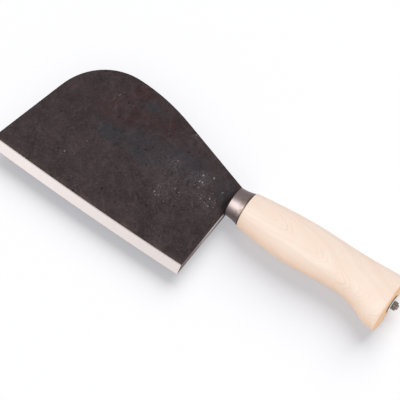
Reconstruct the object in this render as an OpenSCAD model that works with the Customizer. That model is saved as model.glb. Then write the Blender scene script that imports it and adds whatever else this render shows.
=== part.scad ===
// Billhook with a straight cutting edge, a round hump on its back and a wooden handle.
// Millimetres. The origin is on the handle's axis, in the ferrule's mouth where the blade seats.
// +X runs along the handle to its butt, +Y to the blade's back, +Z out of the bevelled face.

/* [Blade] */
// Thickness of the blade
blade_thick = 5; // [3.5:0.1:7]
// Height of the back over the handle's axis, where it leaves the ferrule
neck_back = 12.2; // [9:0.1:14]
// Depth of the heel under the handle's axis, where it leaves the ferrule
neck_heel = 14; // [12:0.1:16]
// Angle at which the straight back rises from the ferrule
back_rise = 17.3; // [8:0.1:25]
// Distance from the ferrule to the highest point of the back
crown_reach = 116.7; // [95:0.1:140]
// Radius of the flat curve behind the highest point
crown_r = 173; // [120:1:220]
// Radius of the round hump ahead of the highest point
hump_r = 53.6; // [40:0.1:60]
// Angle by which the straight toe leans from a square cut
toe_lean = 17.9; // [8:0.1:24]
// Depth of the heel corner under the handle's axis
heel_drop = 72.4; // [60:0.1:90]
// Distance from the ferrule forward to the heel corner
heel_setback = 5; // [0:0.1:15]
// Overhang of the heel face at its flat side
heel_slant = 1.2; // [0.1:0.1:2.5]

/* [Cutting edge] */
// Angle at which the cutting edge rises from heel to toe
edge_rise = 1.25; // [0:0.05:4]
// Swell of the cutting edge at its middle
edge_belly = 1.3; // [0.4:0.1:4]
// Width of the ground bevel
bevel_w = 7.9; // [5:0.1:14]

/* [Tang] */
// Width of the tang at the blade's shoulder
tang_w = 13; // [9:0.5:16]
// Width and thickness of the tang where its thread begins
tang_end_w = 4.8; // [4.4:0.1:6]
// Diameter of the thread on the tang
thread_d = 4; // [3:0.1:4.2]
// Length of the thread on the tang
thread_len = 28; // [20:1:45]
// Length of thread that stands out of the nut
thread_out = 1.3; // [0.4:0.1:4]

/* [Ferrule] */
// Length of the ferrule
ferrule_len = 12.5; // [9:0.5:20]
// Outer diameter of the ferrule at the blade
ferrule_mouth_d = 25; // [22:0.1:28]
// Outer diameter of the ferrule at the handle's shoulder
ferrule_rear_d = 29.3; // [28.5:0.1:34]
// Wall of the ferrule
ferrule_wall = 1.3; // [0.8:0.1:2]
// Depth of the hollow curve along the ferrule's side
ferrule_hollow = 0.55; // [0.2:0.05:1.2]

/* [Handle] */
// Length of the handle from its shoulder to its butt
handle_len = 134.5; // [115:0.5:160]
// Step from the ferrule out to the wood of the shoulder
shoulder_step = 0.65; // [0.2:0.05:2]
// Height of the handle's back over the axis, along the grip
grip_back = 20.6; // [18:0.1:24]
// Distance from the shoulder over which the back rises to that height
back_reach = 65; // [40:1:75]
// Depth of the palm swell under the axis
swell_depth = 18.8; // [17:0.1:22]
// Distance from the shoulder to the deepest point of the palm swell
swell_reach = 44.5; // [30:0.5:55]
// Depth of the waist under the axis
waist_depth = 15.9; // [14:0.1:17]
// Distance from the butt to the waist
waist_reach = 42; // [32:0.5:50]
// Depth of the beak under the axis, at the butt
beak_depth = 25.7; // [22:0.1:30]
// Length of the beak's blunt end
beak_len = 10.5; // [6:0.5:16]
// Height of the butt's back over the axis
butt_back = 22.3; // [20:0.1:26]
// Width of the handle at the palm swell
grip_w = 31.4; // [28:0.1:36]
// Width of the handle at the waist
waist_w = 29.6; // [26:0.1:34]
// Width of the handle at the butt
butt_w = 31; // [27:0.1:36]
// Radius of the rounded rim at the butt
rim_r = 2.2; // [1:0.1:4]
// Squareness of the grip's section, where 2 is an ellipse
grip_square = 2.3; // [2:0.05:2.8]

/* [Fastening] */
// Outer diameter of the washer
washer_d = 15.6; // [12:0.1:18]
// Thickness of the washer
washer_thick = 1.2; // [0.8:0.1:2]
// Width of the nut across its flats
nut_flats = 7; // [6.5:0.1:9]
// Height of the nut
nut_h = 3.2; // [2.4:0.1:5]

/* [Fits] */
// Clearance around the tang in the handle
tang_fit = 0.2; // [0.1:0.05:0.5]
// Clearance between the ferrule and the handle's tenon
ferrule_fit = 0.05; // [0.02:0.01:0.2]
// Clearance of the washer's hole around the thread
washer_fit = 0.2; // [0.1:0.05:0.5]
// Clearance between the nut's bore and the thread
nut_fit = 0.05; // [0.02:0.01:0.1]

/* [Hidden] */

// Places along the handle's axis
shoulder_x = ferrule_len;
butt_x = shoulder_x + handle_len;
swell_x = shoulder_x + swell_reach;
back_x = shoulder_x + back_reach;
waist_x = butt_x - waist_reach;
beak_x = butt_x - beak_len;
nut_x = butt_x + washer_thick;
tang_end_x = nut_x + nut_h + thread_out;
thread_x = tang_end_x - thread_len;

// Corners and arc centres of the blade's outline
crown_x = -crown_reach;
crown_join_x = crown_x + crown_r * sin(back_rise);
crown_y = neck_back + crown_r * (1 - cos(back_rise)) - crown_join_x * tan(back_rise);
hump_y = crown_y - hump_r;
crown_join = [crown_join_x, crown_y - crown_r * (1 - cos(back_rise))];
toe_join = [crown_x - hump_r * cos(toe_lean), hump_y + hump_r * sin(toe_lean)];
heel = [-heel_setback, -heel_drop];

// The toe corner is where the toe's line meets the cutting edge's line
toe_fall = (toe_join.y - heel.y + tan(edge_rise) * (toe_join.x - heel.x))
    / (1 + tan(edge_rise) * tan(toe_lean));
toe = [toe_join.x - toe_fall * tan(toe_lean), toe_join.y - toe_fall];

// The bevel is a very shallow arc along the edge, so that the edge has a slight belly
edge_mid = (heel + toe) / 2;
edge_len = norm(heel - toe);
bevel_pitch = atan(blade_thick / bevel_w);
bevel_sink = edge_belly * sin(bevel_pitch);
edge_arc_r = (edge_len * edge_len / 4 + bevel_sink * bevel_sink) / (2 * bevel_sink);
edge_facets = 20;

// Stock left beyond the edge before grinding
edge_stock = edge_belly + 3;

// Arc of the ferrule's side, as a radius and a height over the axis
ferrule_rise = (ferrule_rear_d - ferrule_mouth_d) / 2;
ferrule_chord = norm([ferrule_len, ferrule_rise]);
ferrule_arc_r = (pow(ferrule_chord, 2) / 4 + pow(ferrule_hollow, 2)) / (2 * ferrule_hollow);
ferrule_arc = [
    (ferrule_mouth_d + ferrule_rear_d) / 4 + (ferrule_arc_r - ferrule_hollow) * ferrule_len / ferrule_chord,
    ferrule_len / 2 - (ferrule_arc_r - ferrule_hollow) * ferrule_rise / ferrule_chord
];

// Fineness of round forms and of the handle's loft
round_sides = 96;
arc_sides = 360;
handle_sides = 48;
body_rings = 38;
rim_rings = 5;

function clamp(t) = min(max(t, 0), 1);
function mix(a, b, t) = a + (b - a) * t;
function ease_out(t) = sin(90 * clamp(t));
function smooth(t) = pow(clamp(t), 2) * (3 - 2 * clamp(t));
function soft_min(a, b, blend) = (a + b - sqrt(pow(a - b, 2) + pow(blend, 2))) / 2;

// Height of the handle's back over the axis at x
function back_at(x) = x < back_x
    ? mix(shoulder_r, grip_back, ease_out((x - shoulder_x) / back_reach))
    : mix(grip_back, butt_back, smooth((x - waist_x) / waist_reach));

// Depth of the flare from the waist to the beak, and of the beak's blunt end
beak_taper = 0.09;
beak_blend = 1.2;
function flare_at(x) = mix(waist_depth, beak_depth, pow((x - waist_x) / (beak_x - waist_x), 2));
function beak_at(x) = beak_depth - beak_taper * (butt_x - x);

// Depth of the handle's underside at x
function belly_at(x) = x < swell_x
    ? mix(shoulder_r, swell_depth, ease_out((x - shoulder_x) / swell_reach))
    : x < waist_x
    ? mix(swell_depth, waist_depth, smooth((x - swell_x) / (waist_x - swell_x)))
    : soft_min(flare_at(x), beak_at(x), beak_blend);

// Half of the handle's width at x
function half_width_at(x) = x < swell_x
    ? mix(shoulder_r, grip_w / 2, smooth((x - shoulder_x) / swell_reach))
    : x < waist_x
    ? mix(grip_w, waist_w, smooth((x - swell_x) / (waist_x - swell_x))) / 2
    : mix(waist_w, butt_w, smooth((x - waist_x) / waist_reach)) / 2;

// How far a rounded rim of radius r draws the section in, at the distance d from its face
function rim_inset(d, r) = d >= r ? 0 : r - sqrt(r * r - pow(r - d, 2));

// The section is round at the shoulder and squarer along the grip
shoulder_r = ferrule_rear_d / 2 + shoulder_step;
shoulder_round = 0.9;
function inset_at(x) = rim_inset(x - shoulder_x, shoulder_round) + rim_inset(butt_x - x, rim_r);
function square_at(x) = mix(2, grip_square, smooth((x - shoulder_x) / swell_reach));
function lobe(c, power) = sign(c) * pow(abs(c), 2 / power);
function section_point(x, a) = [
    x,
    lobe(cos(a), square_at(x)) * ((cos(a) > 0 ? back_at(x) : belly_at(x)) - inset_at(x)),
    lobe(sin(a), square_at(x)) * (half_width_at(x) - inset_at(x))
];

// Stations of the loft, closer together at its two rounded rims
ring_x = concat(
    [for (i = [0 : rim_rings - 1]) shoulder_x + shoulder_round * (1 - cos(90 * i / rim_rings))],
    [for (i = [0 : body_rings]) mix(shoulder_x + shoulder_round, butt_x - rim_r, i / body_rings)],
    [for (i = [1 : rim_rings]) butt_x - rim_r + rim_r * sin(90 * i / rim_rings)]
);

module outline() {
    polygon([
        [toe.x - edge_stock * tan(toe_lean), toe.y - edge_stock],
        [heel.x - edge_stock * heel_run, heel.y - edge_stock],
        [0, -neck_heel],
        [0, neck_back],
        crown_join,
        [crown_join_x, hump_y],
        [crown_x, hump_y],
        toe_join
    ]);
    intersection() {
        translate([crown_x, hump_y]) circle(hump_r, $fn = arc_sides);
        translate([crown_x - hump_r, hump_y]) square([hump_r, hump_r]);
    }
    intersection() {
        translate([crown_x, crown_y - crown_r]) circle(crown_r, $fn = 4 * arc_sides);
        translate([crown_x, hump_y]) square([crown_join_x - crown_x, hump_r]);
    }
}

// Slope of the heel's line, forward for each unit down
heel_run = heel_setback / (heel_drop - neck_heel);

// The heel is cut so that its flat side overhangs its bevelled side
module heel_cutter() {
    size = 2 * heel_drop;
    lean = atan(heel_slant / blade_thick);
    translate([0, -neck_heel, -blade_thick / 2])
        rotate([0, 0, -atan(heel_run)])
        rotate([0, -lean, 0])
        translate([0, -size + neck_heel, -blade_thick])
        cube([size, size, size]);
}

// What grinding takes off: the space outside the bevel's shallow arc, seen along its slope
module bevel_cutter() {
    half = 0.55 * edge_len;
    steps = [for (i = [0 : edge_facets]) mix(-half, half, i / edge_facets)];
    translate([edge_mid.x, edge_mid.y, -blade_thick / 2])
        rotate([0, 0, -edge_rise])
        rotate([bevel_pitch - 90, 0, 0])
        linear_extrude(8 * bevel_w, center = true)
        polygon(concat(
            [for (x = steps) [x, edge_arc_r - bevel_sink - sqrt(pow(edge_arc_r, 2) - x * x)]],
            [[half, -half], [-half, -half]]
        ));
}

// The tang tapers in width and thickness, then turns round for its thread
module tang(fit) {
    root = blade_thick / 2 + fit;
    tip = tang_end_w / 2 + fit;
    end_x = thread_x + fit;
    intersection() {
        linear_extrude(2 * root, center = true)
            polygon([[-fit, -tang_w / 2 - fit], [end_x, -tip], [end_x, tip], [-fit, tang_w / 2 + fit]]);
        rotate([90, 0, 0])
            linear_extrude(2 * tang_w, center = true)
            polygon([[-fit, -root], [end_x, -tip], [end_x, tip], [-fit, root]]);
    }
}

module blade() {
    color([0.3, 0.27, 0.26]) {
        difference() {
            linear_extrude(blade_thick, center = true) outline();
            heel_cutter();
            bevel_cutter();
        }
        tang(0);
        translate([thread_x, 0, 0])
            rotate([0, 90, 0])
            cylinder(d = thread_d, h = thread_len, $fn = round_sides);
    }
}

module ferrule() {
    color([0.62, 0.59, 0.58])
        rotate([0, 90, 0])
        rotate_extrude($fn = round_sides)
        intersection() {
            difference() {
                translate(ferrule_arc) circle(ferrule_arc_r + ferrule_wall, $fn = arc_sides);
                translate(ferrule_arc) circle(ferrule_arc_r, $fn = arc_sides);
            }
            square([ferrule_rear_d / 2, ferrule_len]);
        }
}

// The part of the handle that fills the ferrule
module tenon() {
    rotate([0, 90, 0])
        rotate_extrude($fn = round_sides)
        difference() {
            square([ferrule_mouth_d / 2, ferrule_len + shoulder_round]);
            translate(ferrule_arc)
                circle(ferrule_arc_r + ferrule_wall + ferrule_fit, $fn = arc_sides);
        }
}

module grip() {
    rings = len(ring_x);
    points = [
        for (x = ring_x)
            for (j = [0 : handle_sides - 1]) section_point(x, 360 * j / handle_sides)
    ];
    sides = [
        for (i = [0 : rings - 2])
            for (j = [0 : handle_sides - 1])
                let (
                    a = i * handle_sides + j,
                    b = i * handle_sides + (j + 1) % handle_sides
                )
                [a, a + handle_sides, b + handle_sides, b]
    ];
    front = [for (j = [0 : handle_sides - 1]) j];
    rear = [for (j = [handle_sides - 1 : -1 : 0]) (rings - 1) * handle_sides + j];
    polyhedron(points = points, faces = concat(sides, [front], [rear]), convexity = 4);
}

module handle() {
    color([0.95, 0.86, 0.78])
        difference() {
            union() {
                grip();
                tenon();
            }
            tang(tang_fit);
            translate([thread_x, 0, 0])
                rotate([0, 90, 0])
                cylinder(d = thread_d + 2 * tang_fit, h = thread_len, $fn = round_sides);
        }
}

// The washer's outer rim is eased on the side away from the wood
module washer() {
    ease = washer_thick / 3;
    color([0.8, 0.8, 0.82])
        translate([butt_x, 0, 0])
        rotate([0, 90, 0])
        difference() {
            union() {
                cylinder(d = washer_d, h = washer_thick - ease, $fn = round_sides);
                translate([0, 0, washer_thick - ease])
                    cylinder(d1 = washer_d, d2 = washer_d - 2 * ease, h = ease, $fn = round_sides);
            }
            translate([0, 0, -washer_thick])
                cylinder(d = thread_d + 2 * washer_fit, h = 3 * washer_thick, $fn = round_sides);
        }
}

// A hexagon whose corners are turned off at a slope of 30 degrees on both faces
module tang_nut() {
    corner_r = nut_flats / sqrt(3);
    turned = (corner_r - nut_flats / 2) * tan(30);
    color([0.36, 0.34, 0.33])
        translate([nut_x, 0, 0])
        rotate([0, 90, 0])
        difference() {
            intersection() {
                rotate([0, 0, nut_turn]) cylinder(r = corner_r, h = nut_h, $fn = 6);
                rotate_extrude($fn = round_sides)
                    polygon([
                        [0, 0],
                        [nut_flats / 2, 0],
                        [corner_r, turned],
                        [corner_r, nut_h - turned],
                        [nut_flats / 2, nut_h],
                        [0, nut_h]
                    ]);
            }
            translate([0, 0, -nut_h])
                cylinder(d = thread_d + 2 * nut_fit, h = 3 * nut_h, $fn = round_sides);
        }
}

// Angle at which the tightened nut happens to stand
nut_turn = 12;

blade();
ferrule();
handle();
washer();
tang_nut();
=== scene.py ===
# Looks, light and camera for the billhook. Metres, in the part's own frame: +X to the butt, +Y to the
# blade's back, +Z out of the bevelled face. Materials measure in millimetres, through Shader.in_mm().
import math

import bpy
from mathutils import Matrix, Vector


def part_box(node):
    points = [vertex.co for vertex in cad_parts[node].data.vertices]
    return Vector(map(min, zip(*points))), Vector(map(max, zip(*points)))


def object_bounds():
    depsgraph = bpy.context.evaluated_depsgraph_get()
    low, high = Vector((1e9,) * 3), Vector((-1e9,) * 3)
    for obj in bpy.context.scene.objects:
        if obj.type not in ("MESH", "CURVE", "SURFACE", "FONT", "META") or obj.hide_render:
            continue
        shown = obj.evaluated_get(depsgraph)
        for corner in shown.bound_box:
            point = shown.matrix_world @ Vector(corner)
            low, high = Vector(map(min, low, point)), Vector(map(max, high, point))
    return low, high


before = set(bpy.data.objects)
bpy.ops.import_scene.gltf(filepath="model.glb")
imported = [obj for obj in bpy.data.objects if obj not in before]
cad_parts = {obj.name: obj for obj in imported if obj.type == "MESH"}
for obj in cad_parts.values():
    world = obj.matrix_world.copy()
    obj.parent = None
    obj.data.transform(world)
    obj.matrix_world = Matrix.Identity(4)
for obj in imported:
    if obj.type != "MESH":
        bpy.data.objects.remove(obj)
cad_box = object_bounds()

MM = 0.001

# Places along the tool, in millimetres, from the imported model
BLADE_FLAT_Z, BLADE_FACE_Z = (corner.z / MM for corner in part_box("blade"))
FERRULE_REAR_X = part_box("ferrule")[1].x / MM
BUTT_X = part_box("washer")[0].x / MM

# How far a spot on the blade's face reaches into the steel
SPOT_DEPTH = 20


class Shader:
    """One material's node tree, with a short call for each kind of node that the materials here use."""

    def __init__(self, name):
        self.material = bpy.data.materials.new(name)
        self.material.use_nodes = True
        self.tree = self.material.node_tree
        self.tree.nodes.clear()
        self.surface = self.tree.nodes.new("ShaderNodeBsdfPrincipled")
        self.output = self.tree.nodes.new("ShaderNodeOutputMaterial")
        self.tree.links.new(self.surface.outputs[0], self.output.inputs["Surface"])

    def node(self, kind, **settings):
        made = self.tree.nodes.new("ShaderNode" + kind)
        for name, value in settings.items():
            setattr(made, name, value)
        return made

    def feed(self, socket, value):
        """Links a socket, or writes a number, vector or colour on it."""
        if isinstance(value, bpy.types.NodeSocket):
            self.tree.links.new(value, socket)
        elif socket.type == "RGBA" and len(value) == 3:
            socket.default_value = (*value, 1)
        else:
            socket.default_value = value

    def set(self, **values):
        """Sets the surface shader's sockets, named with _ for each space."""
        for name, value in values.items():
            self.feed(self.surface.inputs[name.replace("_", " ")], value)

    def in_mm(self):
        """The point's place in the part's frame, in millimetres."""
        return self.vector("SCALE", self.node("TexCoord").outputs["Object"], factor=1 / MM)

    def facing(self):
        """The way the surface faces, in the part's frame."""
        return self.node("TexCoord").outputs["Normal"]

    def vector(self, operation, a, b=(0, 0, 0), factor=None):
        made = self.node("VectorMath", operation=operation)
        self.feed(made.inputs[0], a)
        if factor is None:
            self.feed(made.inputs[1], b)
        else:
            self.feed(made.inputs["Scale"], factor)
        return made.outputs["Value" if operation == "LENGTH" else "Vector"]

    def axis(self, vector, name):
        split = self.node("SeparateXYZ")
        self.feed(split.inputs[0], vector)
        return split.outputs[name]

    def joined(self, x, y=0.0, z=0.0):
        made = self.node("CombineXYZ")
        for socket, value in zip(made.inputs, (x, y, z)):
            self.feed(socket, value)
        return made.outputs[0]

    def moved(self, place, *shift):
        """The place shifted, so that a second noise on it differs from the first."""
        return self.vector("ADD", place, shift)

    def stretched(self, place, *scale):
        return self.vector("MULTIPLY", place, scale)

    def math(self, operation, a, b=0.0):
        made = self.node("Math", operation=operation)
        self.feed(made.inputs[0], a)
        self.feed(made.inputs[1], b)
        return made.outputs[0]

    def folded(self, operation, values):
        """Several values taken together, two at a time."""
        result = values[0]
        for value in values[1:]:
            result = self.math(operation, result, value)
        return result

    def all_of(self, *masks):
        return self.folded("MULTIPLY", masks)

    def any_of(self, *masks):
        return self.folded("MAXIMUM", masks)

    def sum_of(self, *values):
        return self.folded("ADD", values)

    def ramp(self, value, low, high, start=0.0, end=1.0):
        """A smooth step that goes from start to end as the value goes from low to high."""
        made = self.node("MapRange", interpolation_type="SMOOTHSTEP")
        limits = {"From Min": low, "From Max": high, "To Min": start, "To Max": end}
        for name, number in limits.items():
            self.feed(made.inputs[name], number)
        self.feed(made.inputs["Value"], value)
        return made.outputs["Result"]

    def mix(self, share, a, b):
        made = self.node("Mix", data_type="RGBA")
        self.feed(made.inputs["Factor"], share)
        self.feed(made.inputs[6], a)
        self.feed(made.inputs[7], b)
        return made.outputs[2]

    def noise(self, place, size, detail=3.0, roughness=0.55, twist=0.0):
        """Soft noise whose features are about size millimetres across."""
        made = self.node("TexNoise")
        self.feed(made.inputs["Vector"], place)
        settings = {"Scale": 1 / size, "Detail": detail, "Roughness": roughness, "Distortion": twist}
        for name, value in settings.items():
            made.inputs[name].default_value = value
        return made.outputs["Fac"]

    def blurred(self, place, size, reach):
        """The place pushed aside by a soft noise, so that what is drawn on it gets a ragged outline."""
        made = self.node("TexNoise")
        self.feed(made.inputs["Vector"], place)
        made.inputs["Scale"].default_value = 1 / size
        made.inputs["Detail"].default_value = 3.0
        push = self.vector("SUBTRACT", made.outputs["Color"], (0.5, 0.5, 0.5))
        return self.vector("ADD", place, self.vector("SCALE", push, factor=reach))

    def cells(self, place, size):
        """Random cells about size millimetres wide: the distance from each one's middle, and its chance."""
        made = self.node("TexVoronoi")
        self.feed(made.inputs["Vector"], place)
        made.inputs["Scale"].default_value = 1 / size
        return made.outputs["Distance"], self.axis(made.outputs["Color"], "X")

    def near(self, place, middle, radii, inner):
        """A soft blot: 1 inside the inner share of the radii, and 0 outside them."""
        offset = self.vector("SUBTRACT", place, middle)
        share = self.vector("DIVIDE", offset, radii)
        return self.ramp(self.vector("LENGTH", share), 1.0, inner)

    def near_any(self, place, spots, inner):
        """Soft blots on the blade's face, each given by its x, its y and its two radii."""
        blots = []
        for x, y, along, across in spots:
            blots.append(self.near(place, (x, y, BLADE_FACE_Z), (along, across, SPOT_DEPTH), inner))
        return self.any_of(*blots)

    def beside_line(self, place, start, end):
        """How far a point lies from the line through two points, seen along Z, positive to its left."""
        length = math.dist(start, end)
        across = ((start[1] - end[1]) / length, (end[0] - start[0]) / length)
        along_x = self.all_of(self.axis(place, "X"), across[0])
        along_y = self.all_of(self.axis(place, "Y"), across[1])
        return self.sum_of(along_x, along_y, -(across[0] * start[0] + across[1] * start[1]))

    def bump(self, height, depth, normal=None):
        """Relief from a height that runs from 0 to 1 over depth millimetres."""
        made = self.node("Bump")
        made.inputs["Distance"].default_value = depth * MM
        self.feed(made.inputs["Height"], height)
        if normal is not None:
            self.feed(made.inputs["Normal"], normal)
        return made.outputs["Normal"]

    def eased(self, radius):
        """The surface's normal with its sharp edges rounded by radius millimetres."""
        made = self.node("Bevel", samples=8)
        made.inputs["Radius"].default_value = radius * MM
        return made.outputs["Normal"]


# Spots on the blade's bevelled face: x, y and two radii, in millimetres
RED_SPOTS = ((-108, 12, 46, 19), (-78, 22, 28, 15), (-108, 34, 18, 11))
BLUE_SPOTS = (
    (-114, -8, 22, 13), (-80, -4, 40, 20), (-46, 4, 36, 17), (-93, 26, 15, 8), (-12, 2, 14, 12),
)
WORN_SPOTS = ((-42, -14, 48, 26),)
RUBBED_SPOTS = (
    (-57, -1, 11, 8), (-53, -24, 12, 9), (-30, 1, 13, 11), (-19, -13, 11, 9), (-53, 26, 6, 4),
)
BEAD_SPOTS = ((-26, 1, 14, 7), (-16, -6, 6, 8), (-27, 17, 4, 3))

# The scratch's two ends on the same face
SCRATCH = ((-128.5, 10.4), (-120.6, 28.2))

# The bevel's inner line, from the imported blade's own corners
blade_corners = [vertex.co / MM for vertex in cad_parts["blade"].data.vertices]
face_corners = [corner for corner in blade_corners if abs(corner.z - BLADE_FACE_Z) < 0.01]
BEVEL_HEEL = min((corner for corner in face_corners if corner.x > -20), key=lambda corner: corner.y)
BEVEL_TOE = min((corner for corner in face_corners if corner.x < -150), key=lambda corner: corner.y)


def forge_scale(s, place, wavy):
    """A mauve brown with red patches towards the back, a blue band through the middle, and clouds."""
    patches = s.noise(place, 26, detail=4, twist=0.6)
    scale = s.mix(s.ramp(patches, 0.35, 0.65), (0.033, 0.0224, 0.0236), (0.047, 0.0326, 0.0338))
    blotch = s.noise(place, 7, detail=5, roughness=0.65, twist=0.8)
    red = s.all_of(s.near_any(wavy, RED_SPOTS, inner=0.0), s.ramp(blotch, 0.35, 0.62), 0.7)
    scale = s.mix(red, scale, (0.052, 0.0190, 0.0215))
    blue = s.all_of(s.near_any(wavy, BLUE_SPOTS, inner=0.25), s.ramp(blotch, 0.74, 0.42), 0.8)
    scale = s.mix(blue, scale, (0.032, 0.035, 0.041))
    clouds = s.noise(s.moved(place, 3, 70, 0), 8, detail=6, roughness=0.68, twist=0.9)
    scale = s.mix(s.ramp(clouds, 0.5, 0.66, 0, 0.55), scale, (0.067, 0.050, 0.052))
    return s.mix(s.ramp(clouds, 0.48, 0.33, 0, 0.55), scale, (0.020, 0.0135, 0.0135))


def mottled(s, scale, place, tangle, mottle, dusty):
    """Mottling, rosier and lighter over the lower half, and a paler, warmer strip beside the bevel."""
    lower_half = s.ramp(s.axis(place, "Y"), -5, -35, 0.5, 1)
    scale = s.mix(s.all_of(s.ramp(tangle, 0.5, 0.66), lower_half, 0.75), scale, (0.081, 0.061, 0.063))
    scale = s.mix(s.ramp(tangle, 0.46, 0.32, 0, 0.55), scale, (0.019, 0.0125, 0.0125))
    scale = s.mix(s.all_of(s.ramp(mottle, 0.52, 0.7), dusty, 0.42), scale, (0.091, 0.070, 0.072))
    scale = s.mix(s.all_of(s.ramp(mottle, 0.44, 0.28), dusty, 0.42), scale, (0.017, 0.011, 0.011))
    above_bevel = s.beside_line(place, BEVEL_TOE.xy, BEVEL_HEEL.xy)
    uneven = s.ramp(s.noise(place, 6, detail=4), 0.38, 0.62)
    return s.mix(s.all_of(s.ramp(above_bevel, 4.5, 0.3), uneven, 0.8), scale, (0.085, 0.060, 0.052))


def rubbed_bright(s, scale, place, wavy, ragged, tangle):
    """Handling marks: a wide worn area, rubbed places with fine marks and specks, and a few bright beads."""
    worn = s.near_any(wavy, WORN_SPOTS, inner=0.0)
    scale = s.mix(s.all_of(worn, s.ramp(tangle, 0.42, 0.6), 0.5), scale, (0.098, 0.078, 0.080))
    rubbed = s.near_any(wavy, RUBBED_SPOTS, inner=0.1)
    scale = s.mix(s.all_of(rubbed, s.ramp(tangle, 0.36, 0.6), 0.2), scale, (0.110, 0.090, 0.098))
    marks = s.noise(s.moved(place, 0, 0, 60), 1.5, detail=3, roughness=0.6, twist=2.6)
    marked = s.all_of(s.ramp(marks, 0.57, 0.68), s.sum_of(rubbed, 0.06), 0.8)
    scale = s.mix(marked, scale, (0.23, 0.19, 0.195))

    middle, chance = s.cells(ragged, 2.1)
    crowd = s.sum_of(s.all_of(s.any_of(rubbed, s.all_of(worn, 0.1)), 0.55), 0.002)
    size = s.ramp(chance, 0, 0.4, 0.42, 0.16)
    speck = s.all_of(s.ramp(s.math("DIVIDE", middle, size), 1, 0.3), s.math("LESS_THAN", chance, crowd))
    scale = s.mix(s.all_of(speck, 0.8), scale, (0.25, 0.21, 0.215))

    middle, chance = s.cells(s.moved(place, 2, 9, 0), 3.0)
    crowd = s.all_of(s.near_any(place, BEAD_SPOTS, inner=0.6), 0.5)
    bead = s.all_of(s.ramp(middle, 0.34, 0.12), s.math("LESS_THAN", chance, crowd))
    return s.mix(s.all_of(bead, 0.75), scale, (0.34, 0.30, 0.30))


def scratched(s, scale, place):
    """One broken scratch near the toe."""
    y = s.axis(place, "Y")
    low_y, high_y = SCRATCH[0][1], SCRATCH[1][1]
    scratch = s.all_of(
        s.ramp(s.math("ABSOLUTE", s.beside_line(place, *SCRATCH)), 0.65, 0.2),
        s.ramp(y, low_y - 1, low_y + 2),
        s.ramp(y, high_y + 1, high_y - 5),
        s.ramp(s.noise(place, 1.7), 0.42, 0.58),
        0.7,
    )
    return s.mix(scratch, scale, (0.14, 0.11, 0.115))


def heel_painted_light(s, scale, place, facing):
    """The heel's face: a painted highlight, brightest beside the ferrule and mauve towards the edge, with
    painted shade over its lower part near the ferrule.
    """
    y, z = s.axis(place, "Y"), s.axis(place, "Z")
    under_arris = s.ramp(z, 2.3, 1.5)
    heel = s.all_of(s.ramp(s.axis(facing, "X"), 0.7, 0.9), s.ramp(y, -12, -15), under_arris)
    # Painted highlight on the heel's face, brightest beside the ferrule
    heel_highlight = s.mix(s.ramp(y, -56, -22, 0.1, 1), (0.17, 0.125, 0.12), (0.64, 0.58, 0.56))
    # Painted shade over the heel face's lower part, near the ferrule
    in_shade = s.all_of(s.ramp(z, -0.2, -1.2), s.ramp(y, -45, -18))
    return s.mix(heel, scale, s.mix(in_shade, heel_highlight, (0.04, 0.03, 0.03)))


def ground_bevel(s, place, streaks):
    """Steel off the wheel, painted lighter towards the toe as a highlight, with fine streaks across it, a
    soft inner line and a darker cutting edge.
    """
    x, z = s.axis(place, "X"), s.axis(place, "Z")
    # Painted highlight: the bevel's colour grows lighter towards the toe, where no lamp's reflection reaches
    # it
    bright = s.mix(s.ramp(x, -165, -20), (0.765, 0.70, 0.685), (0.67, 0.61, 0.595))
    bright = s.mix(s.ramp(streaks, 0.3, 0.7, 0, 0.12), bright, (0.92, 0.88, 0.87))
    soft_line = s.ramp(z, BLADE_FACE_Z, BLADE_FACE_Z - 0.75, 0.3, 1)
    soft_edge = s.ramp(z, BLADE_FLAT_Z, BLADE_FLAT_Z + 0.5, 0.65, 1)
    return s.mix(s.all_of(soft_line, soft_edge), (0.26, 0.225, 0.22), bright)


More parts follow.
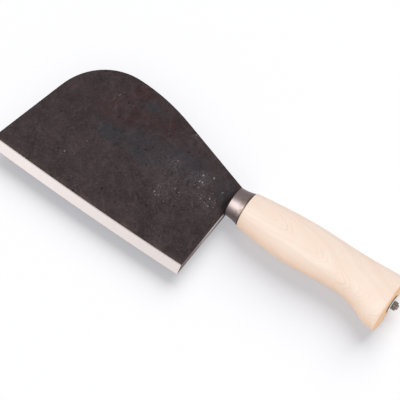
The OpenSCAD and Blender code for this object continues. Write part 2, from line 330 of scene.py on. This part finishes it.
def blade_steel():
    s = Shader("blade_steel")
    place, facing = s.in_mm(), s.facing()
    x, y = s.axis(place, "X"), s.axis(place, "Y")
    wavy = s.blurred(place, 14, reach=9)
    ragged = s.blurred(place, 1.3, reach=2.2)
    tangle = s.noise(s.moved(place, 40, 7, 0), 3.6, detail=6, roughness=0.72, twist=2.2)
    mottle = s.noise(s.moved(place, 9, 31, 0), 1.9, detail=4, roughness=0.7, twist=0.8)
    grain = s.noise(place, 0.9, detail=3, roughness=0.7)
    dusty = s.ramp(s.noise(place, 11, detail=3), 0.4, 0.6, 0.3, 1)

    scale = mottled(s, forge_scale(s, place, wavy), place, tangle, mottle, dusty)
    scale = rubbed_bright(s, scale, place, wavy, ragged, tangle)
    middle, chance = s.cells(s.moved(ragged, 11, 5, 3), 3.7)
    pit = s.all_of(s.ramp(middle, 0.36, 0.1), s.math("LESS_THAN", chance, 0.07))
    scale = s.mix(s.all_of(pit, 0.75), scale, (0.010, 0.007, 0.007))
    scale = s.mix(s.all_of(s.ramp(grain, 0.58, 0.8), dusty, 0.4), scale, (0.11, 0.09, 0.088))
    scale = scratched(s, scale, place)

    # Painted shade round the ferrule's mouth, painted light on the heel's face, and bare steel on the tang's
    # threaded end
    # Painted shade: near-black round the ferrule's mouth, where the blade goes into it
    mouth_shade = s.near(wavy, (1, -4, 0), (10, 16, 40), inner=0.45)
    scale = s.mix(s.all_of(mouth_shade, 0.9), scale, (0.008, 0.006, 0.006))
    scale = heel_painted_light(s, scale, place, facing)
    thread = s.all_of(s.ramp(x, BUTT_X - 1, BUTT_X), s.ramp(s.math("ABSOLUTE", y), 3, 2.5))
    scale = s.mix(thread, scale, (0.30, 0.26, 0.23))

    faces_up = s.axis(facing, "Z")
    ground = s.all_of(s.ramp(faces_up, 0.6, 0.75), s.ramp(faces_up, 0.96, 0.92), s.ramp(y, -50, -52))
    streaks = s.noise(s.stretched(place, 2.6, 0.1, 0.1), 1, detail=4, roughness=0.65)
    relief = s.math("SUBTRACT", s.sum_of(s.all_of(mottle, 0.7), s.all_of(grain, 0.3)), s.all_of(pit, 0.6))
    forged = s.bump(s.all_of(relief, s.math("SUBTRACT", 1, ground)), 0.10, normal=s.eased(0.3))
    s.set(
        Base_Color=s.mix(ground, scale, ground_bevel(s, place, streaks)),
        Metallic=s.any_of(ground, thread),
        Roughness=s.sum_of(s.ramp(ground, 0, 1, 0.50, 0.30), s.all_of(mottle, 0.14)),
        Specular_IOR_Level=0.08,
        Normal=s.bump(s.all_of(streaks, ground), 0.003, normal=forged),
    )
    return s.material


def ferrule_steel():
    """Drawn steel with faint lines round it, stained towards its rear and dark along its rear rim."""
    s = Shader("ferrule_steel")
    place = s.in_mm()
    x = s.axis(place, "X")
    lines = s.noise(s.stretched(place, 9, 0.06, 0.06), 1, detail=3, roughness=0.6)
    cloud = s.noise(place, 6, detail=3)
    tint = s.mix(lines, (0.148, 0.112, 0.102), (0.198, 0.157, 0.145))
    tint = s.mix(s.ramp(cloud, 0.4, 0.65, 0, 0.35), tint, (0.165, 0.14, 0.165))
    rearward = s.ramp(x, FERRULE_REAR_X - 9, FERRULE_REAR_X - 2)
    stain = s.all_of(s.ramp(s.noise(place, 3.5, detail=4), 0.45, 0.65), rearward, 0.55)
    tint = s.mix(stain, tint, (0.085, 0.060, 0.048))
    tint = s.mix(s.ramp(x, FERRULE_REAR_X - 1.3, FERRULE_REAR_X - 0.5), tint, (0.07, 0.05, 0.035))
    s.set(
        Base_Color=tint,
        Metallic=1.0,
        Roughness=s.ramp(lines, 0, 1, 0.37, 0.47),
        Normal=s.bump(lines, 0.02, normal=s.eased(0.25)),
    )
    return s.material


# The handle was cut close to the heart of a thin trunk, whose middle sinks under the grip to the butt.
# These give its height and side at x = 0, how fast both change along the handle, and a ring's width.
PITH_HEIGHT = 13.0
PITH_FALL = 0.11
PITH_SIDE = 6.0
PITH_TURN = -0.085
RING_WIDTH = 0.62


def growth_rings(s, place):
    """The wave of the single rings, the late wood that shows as lines, and broad bands of many rings."""
    x = s.axis(place, "X")
    pith_y = s.sum_of(s.all_of(x, PITH_TURN), PITH_SIDE)
    pith_z = s.math("SUBTRACT", PITH_HEIGHT, s.all_of(x, PITH_FALL))
    aside = s.math("SUBTRACT", s.axis(place, "Y"), pith_y)
    above = s.math("SUBTRACT", s.axis(place, "Z"), pith_z)
    waver = s.noise(s.stretched(place, 0.016, 0.05, 0.05), 1, detail=1.5, roughness=0.4)
    fine_waver = s.noise(s.stretched(place, 0.07, 0.16, 0.16), 1, detail=2)
    distance = s.vector("LENGTH", s.joined(aside, above))
    grown = s.sum_of(distance, s.all_of(waver, 6), s.all_of(fine_waver, 1.1))
    rings = s.math("DIVIDE", grown, RING_WIDTH)
    wave = s.math("SINE", s.all_of(rings, 2 * math.pi))
    year = s.noise(s.joined(s.all_of(rings, 0.31)), 1, detail=2)
    late_wood = s.all_of(s.ramp(wave, -0.3, 1), s.ramp(year, 0.42, 0.62, 0.05, 1))
    bands = s.ramp(s.noise(s.joined(s.all_of(rings, 0.13)), 1, detail=2), 0.35, 0.65)
    return wave, late_wood, bands


def handle_wood():
    s = Shader("handle_wood")
    place, facing = s.in_mm(), s.facing()
    x = s.axis(place, "X")
    faces_up, faces_back, faces_butt = (s.axis(facing, name) for name in "ZYX")
    wave, late_wood, bands = growth_rings(s, place)

    pale = s.mix(bands, (0.925, 0.782, 0.672), (0.905, 0.738, 0.622))
    blotch = s.ramp(s.noise(place, 16, detail=3), 0.35, 0.65)
    pale = s.mix(s.all_of(blotch, 0.5), pale, (0.92, 0.72, 0.60))
    pale = s.mix(s.all_of(late_wood, 0.6), pale, (0.82, 0.64, 0.52))
    fibres = s.noise(s.stretched(place, 0.06, 1.7, 1.7), 1, detail=4, roughness=0.65)
    pale = s.mix(s.ramp(fibres, 0.55, 0.75, 0, 0.22), pale, (0.78, 0.58, 0.46))
    middle, chance = s.cells(s.stretched(place, 0.28, 1.6, 1.6), 1)
    fleck = s.all_of(s.ramp(middle, 0.3, 0.12), s.math("LESS_THAN", chance, 0.10))
    pale = s.mix(s.all_of(fleck, 0.16), pale, (0.66, 0.45, 0.33))

    # Painted warm shade on both flanks, most of all on the side towards the edge
    below = s.all_of(s.ramp(faces_up, 0.98, 0.42), s.ramp(faces_back, 0.0, -0.4))
    over = s.all_of(s.ramp(faces_up, 0.65, 0.15), s.ramp(faces_back, 0.0, 0.5))
    patchy = s.ramp(s.noise(place, 10, detail=3), 0.3, 0.65, 0.45, 1)
    pale = s.mix(below, pale, s.mix(patchy, (0.93, 0.73, 0.58), (0.89, 0.65, 0.49)))
    pale = s.mix(s.all_of(over, patchy, 0.5), pale, (0.93, 0.71, 0.58))

    # End grain takes more of the finish and turns amber
    end = s.ramp(faces_butt, 0.25, 0.8)
    amber = s.mix(s.ramp(wave, -0.2, 1, 0, 0.6), (0.96, 0.63, 0.38), (0.80, 0.47, 0.26))
    amber = s.mix(s.all_of(bands, 0.5), amber, (0.80, 0.48, 0.27))

    # The hot tang burnt the tenon's end when it was driven in
    char = s.mix(s.noise(place, 2.2, detail=4), (0.035, 0.026, 0.02), (0.13, 0.085, 0.055))
    pale = s.mix(s.ramp(x, FERRULE_REAR_X - 2, FERRULE_REAR_X - 6), pale, char)
    s.set(
        Base_Color=s.mix(end, pale, amber),
        Roughness=s.sum_of(s.ramp(fibres, 0.3, 0.7, 0.42, 0.52), s.all_of(end, 0.12)),
        Normal=s.bump(s.math("SUBTRACT", fibres, s.all_of(fleck, 0.5)), 0.035),
    )
    return s.material


def washer_steel():
    """Bright plating with faint turned lines, and a dark brown rim."""
    s = Shader("washer_steel")
    place = s.in_mm()
    out = s.vector("LENGTH", s.stretched(place, 0, 1, 1))
    lines = s.noise(s.joined(s.all_of(out, 3.0)), 1, detail=2)
    cloud = s.ramp(s.noise(place, 2.5, detail=3), 0.4, 0.65)
    plate = s.mix(lines, (0.73, 0.715, 0.71), (0.86, 0.85, 0.85))
    plate = s.mix(s.all_of(cloud, 0.2), plate, (0.45, 0.39, 0.34))
    rim = s.ramp(s.math("ABSOLUTE", s.axis(s.facing(), "X")), 0.45, 0.15)
    s.set(
        Base_Color=s.mix(rim, plate, (0.19, 0.14, 0.10)),
        Metallic=1.0,
        Roughness=s.ramp(lines, 0.3, 0.7, 0.24, 0.36),
        Normal=s.bump(lines, 0.01, normal=s.eased(0.12)),
    )
    return s.material


def nut_steel():
    """Dark oiled steel, worn a little lighter on its corners."""
    s = Shader("nut_steel")
    place = s.in_mm()
    mottle = s.noise(place, 1.3, detail=4, roughness=0.65)
    tint = s.mix(s.ramp(mottle, 0.35, 0.7), (0.14, 0.123, 0.108), (0.25, 0.222, 0.20))
    out = s.vector("LENGTH", s.stretched(place, 0, 1, 1))
    tint = s.mix(s.ramp(out, 3.65, 4.0, 0, 0.6), tint, (0.32, 0.29, 0.26))
    s.set(
        Base_Color=tint,
        Metallic=1.0,
        Roughness=s.ramp(mottle, 0.3, 0.7, 0.32, 0.5),
        Normal=s.bump(mottle, 0.03, normal=s.eased(0.2)),
    )
    return s.material


# Wider than the step between two facets of the handle's rim, and narrower than the bevel's inner line
SHARP_ANGLE = math.radians(25)

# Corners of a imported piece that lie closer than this, in millimetres, are joined
JOIN_WITHIN = 0.002


def shade_smooth_group():
    """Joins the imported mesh's split corners and shades it smooth, except across its sharp edges."""
    group = bpy.data.node_groups.new("joined_and_smooth", "GeometryNodeTree")
    group.interface.new_socket("Geometry", in_out="INPUT", socket_type="NodeSocketGeometry")
    group.interface.new_socket("Geometry", in_out="OUTPUT", socket_type="NodeSocketGeometry")
    came_in = group.nodes.new("NodeGroupInput")
    goes_out = group.nodes.new("NodeGroupOutput")
    merge = group.nodes.new("GeometryNodeMergeByDistance")
    merge.inputs["Distance"].default_value = JOIN_WITHIN * MM
    forget = group.nodes.new("GeometryNodeRemoveAttribute")
    forget.inputs["Name"].default_value = "custom_normal"
    faces = group.nodes.new("GeometryNodeSetShadeSmooth")
    edges = group.nodes.new("GeometryNodeSetShadeSmooth")
    edges.domain = "EDGE"
    angle = group.nodes.new("GeometryNodeInputMeshEdgeAngle")
    blunt = group.nodes.new("FunctionNodeCompare")
    blunt.operation = "LESS_EQUAL"
    blunt.inputs["B"].default_value = SHARP_ANGLE
    group.links.new(angle.outputs["Unsigned Angle"], blunt.inputs["A"])
    group.links.new(blunt.outputs["Result"], edges.inputs["Shade Smooth"])
    geometry = came_in.outputs[0]
    for step in (merge, forget, faces, edges):
        group.links.new(geometry, step.inputs["Geometry"])
        geometry = step.outputs["Geometry"]
    group.links.new(geometry, goes_out.inputs[0])
    return group


joined_and_smooth = shade_smooth_group()


def dress(node, material):
    """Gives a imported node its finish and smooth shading."""
    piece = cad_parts[node]
    piece.material_slots[0].material = material
    smooth = piece.modifiers.new("joined_and_smooth", "NODES")
    smooth.node_group = joined_and_smooth


dress("blade", blade_steel())
dress("ferrule", ferrule_steel())
dress("handle", handle_wood())
dress("washer", washer_steel())
dress("tang_nut", nut_steel())

# The photograph's camera, found from the tool's own lines
PICTURE_SIDE = 400
SENSOR_WIDTH = 36.0
CAMERA_DISTANCE = 1.9
MM_PER_PIXEL = 0.78
TILT_TO_BUTT = math.radians(10.8)
TILT_TO_EDGE = math.radians(8.0)
CAMERA_ROLL = math.radians(34.588)
CAMERA_TARGET = Vector((-22.954, -13.613, 0)) * MM


def make_camera():
    data = bpy.data.cameras.new("camera")
    data.sensor_width = SENSOR_WIDTH
    data.lens = SENSOR_WIDTH * CAMERA_DISTANCE / (MM_PER_PIXEL * MM * PICTURE_SIDE)
    camera = bpy.data.objects.new("camera", data)
    bpy.context.scene.collection.objects.link(camera)
    away = Vector((math.tan(TILT_TO_BUTT), -math.tan(TILT_TO_EDGE), 1)).normalized()
    place = away * CAMERA_DISTANCE
    ahead = (CAMERA_TARGET - place).normalized()
    level_right = ahead.cross(Vector((0, 1, 0))).normalized()
    level_up = level_right.cross(ahead)
    right = math.cos(CAMERA_ROLL) * level_right + math.sin(CAMERA_ROLL) * level_up
    up = math.cos(CAMERA_ROLL) * level_up - math.sin(CAMERA_ROLL) * level_right
    turn = Matrix((right, up, -ahead)).transposed()
    camera.matrix_world = Matrix.Translation(place) @ turn.to_4x4()
    bpy.context.scene.camera = camera


def make_lamp(name, to_butt, to_back, spread, share, lights_up, mirrored=True, tint=(1, 1, 1)):
    """A broad, distant soft light.

    It has two angles from straight up and a width, in degrees, and the share of a level surface's light
    that it gives. lights_up names the collection that it lights, and mirrored says whether bright metal
    shows it.
    """
    towards = Vector((math.tan(math.radians(to_butt)), math.tan(math.radians(to_back)), 1))
    data = bpy.data.lights.new(name, "SUN")
    data.angle = math.radians(spread)
    data.color = tint
    data.energy = share * math.pi / towards.normalized().z
    lamp = bpy.data.objects.new(name, data)
    bpy.context.scene.collection.objects.link(lamp)
    lamp.rotation_euler = towards.to_track_quat("Z", "Y").to_euler()
    lamp.visible_glossy = mirrored
    lamp.light_linking.receiver_collection = lights_up


def make_world(level):
    """A white room that metal mirrors as white, and that gives matt surfaces a share of their light."""
    world = bpy.data.worlds.new("studio")
    bpy.context.scene.world = world
    world.use_nodes = True
    tree = world.node_tree
    background = tree.nodes["Background"]
    background.inputs["Color"].default_value = (1, 1, 1, 1)
    path = tree.nodes.new("ShaderNodeLightPath")
    seen = path.outputs["Is Camera Ray"]
    for ray in ("Is Glossy Ray", "Is Transmission Ray"):
        either = tree.nodes.new("ShaderNodeMath")
        either.operation = "MAXIMUM"
        tree.links.new(seen, either.inputs[0])
        tree.links.new(path.outputs[ray], either.inputs[1])
        seen = either.outputs[0]
    strength = tree.nodes.new("ShaderNodeMapRange")
    strength.inputs["To Min"].default_value = level
    strength.inputs["To Max"].default_value = 1.0
    tree.links.new(seen, strength.inputs["Value"])
    tree.links.new(strength.outputs["Result"], background.inputs["Strength"])


def make_floor(half_side, glow):
    """A wide white floor that the handle lies on, lit faintly from within like a light table.

    It is clear from below, so that the tool's underside can be seen.
    """
    mesh = bpy.data.meshes.new("floor")
    z = cad_box[0].z
    corners = [(x * half_side, y * half_side, z) for x, y in ((-1, -1), (1, -1), (1, 1), (-1, 1))]
    mesh.from_pydata(corners, [], [(0, 1, 2, 3)])
    floor = bpy.data.objects.new("floor", mesh)
    bpy.context.scene.collection.objects.link(floor)
    s = Shader("floor")
    s.set(Base_Color=(0.5, 0.5, 0.5), Roughness=0.9, Specular_IOR_Level=0.0)
    s.set(Emission_Color=(0.94, 0.94, 1), Emission_Strength=glow)
    either = s.node("MixShader")
    s.feed(either.inputs["Fac"], s.node("NewGeometry").outputs["Backfacing"])
    s.feed(either.inputs[1], s.surface.outputs[0])
    s.feed(either.inputs[2], s.node("BsdfTransparent").outputs[0])
    s.feed(s.output.inputs["Surface"], either.outputs[0])
    mesh.materials.append(s.material)
    return floor


def lit_together(name, *pieces):
    """A collection for the lamps alone, which isn't linked into the scene."""
    made = bpy.data.collections.new(name)
    for piece in pieces:
        made.objects.link(piece)
    return made


make_camera()
floor = make_floor(half_side=12.0, glow=0.38)
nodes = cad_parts
on_floor = lit_together("lit_floor", floor)
on_tool = lit_together("lit_blade_and_handle", nodes["blade"], nodes["handle"])
on_fittings = lit_together("lit_fittings", nodes["ferrule"], nodes["washer"], nodes["tang_nut"])
make_world(0.42)
make_lamp("front", -14, -17, 40, 0.39, on_tool)
make_lamp("butt", 62, -10, 60, 0.06, on_tool, mirrored=False)
make_lamp("fittings", -30, -25, 54, 1.36, on_fittings, tint=(0.90, 0.97, 1))
make_lamp("back", -6, 42, 80, 0.16, on_tool, mirrored=False)
make_lamp("shadow", -5, 46, 48, 0.86, on_floor, mirrored=False)
bpy.context.scene.view_settings.view_transform = "Standard"
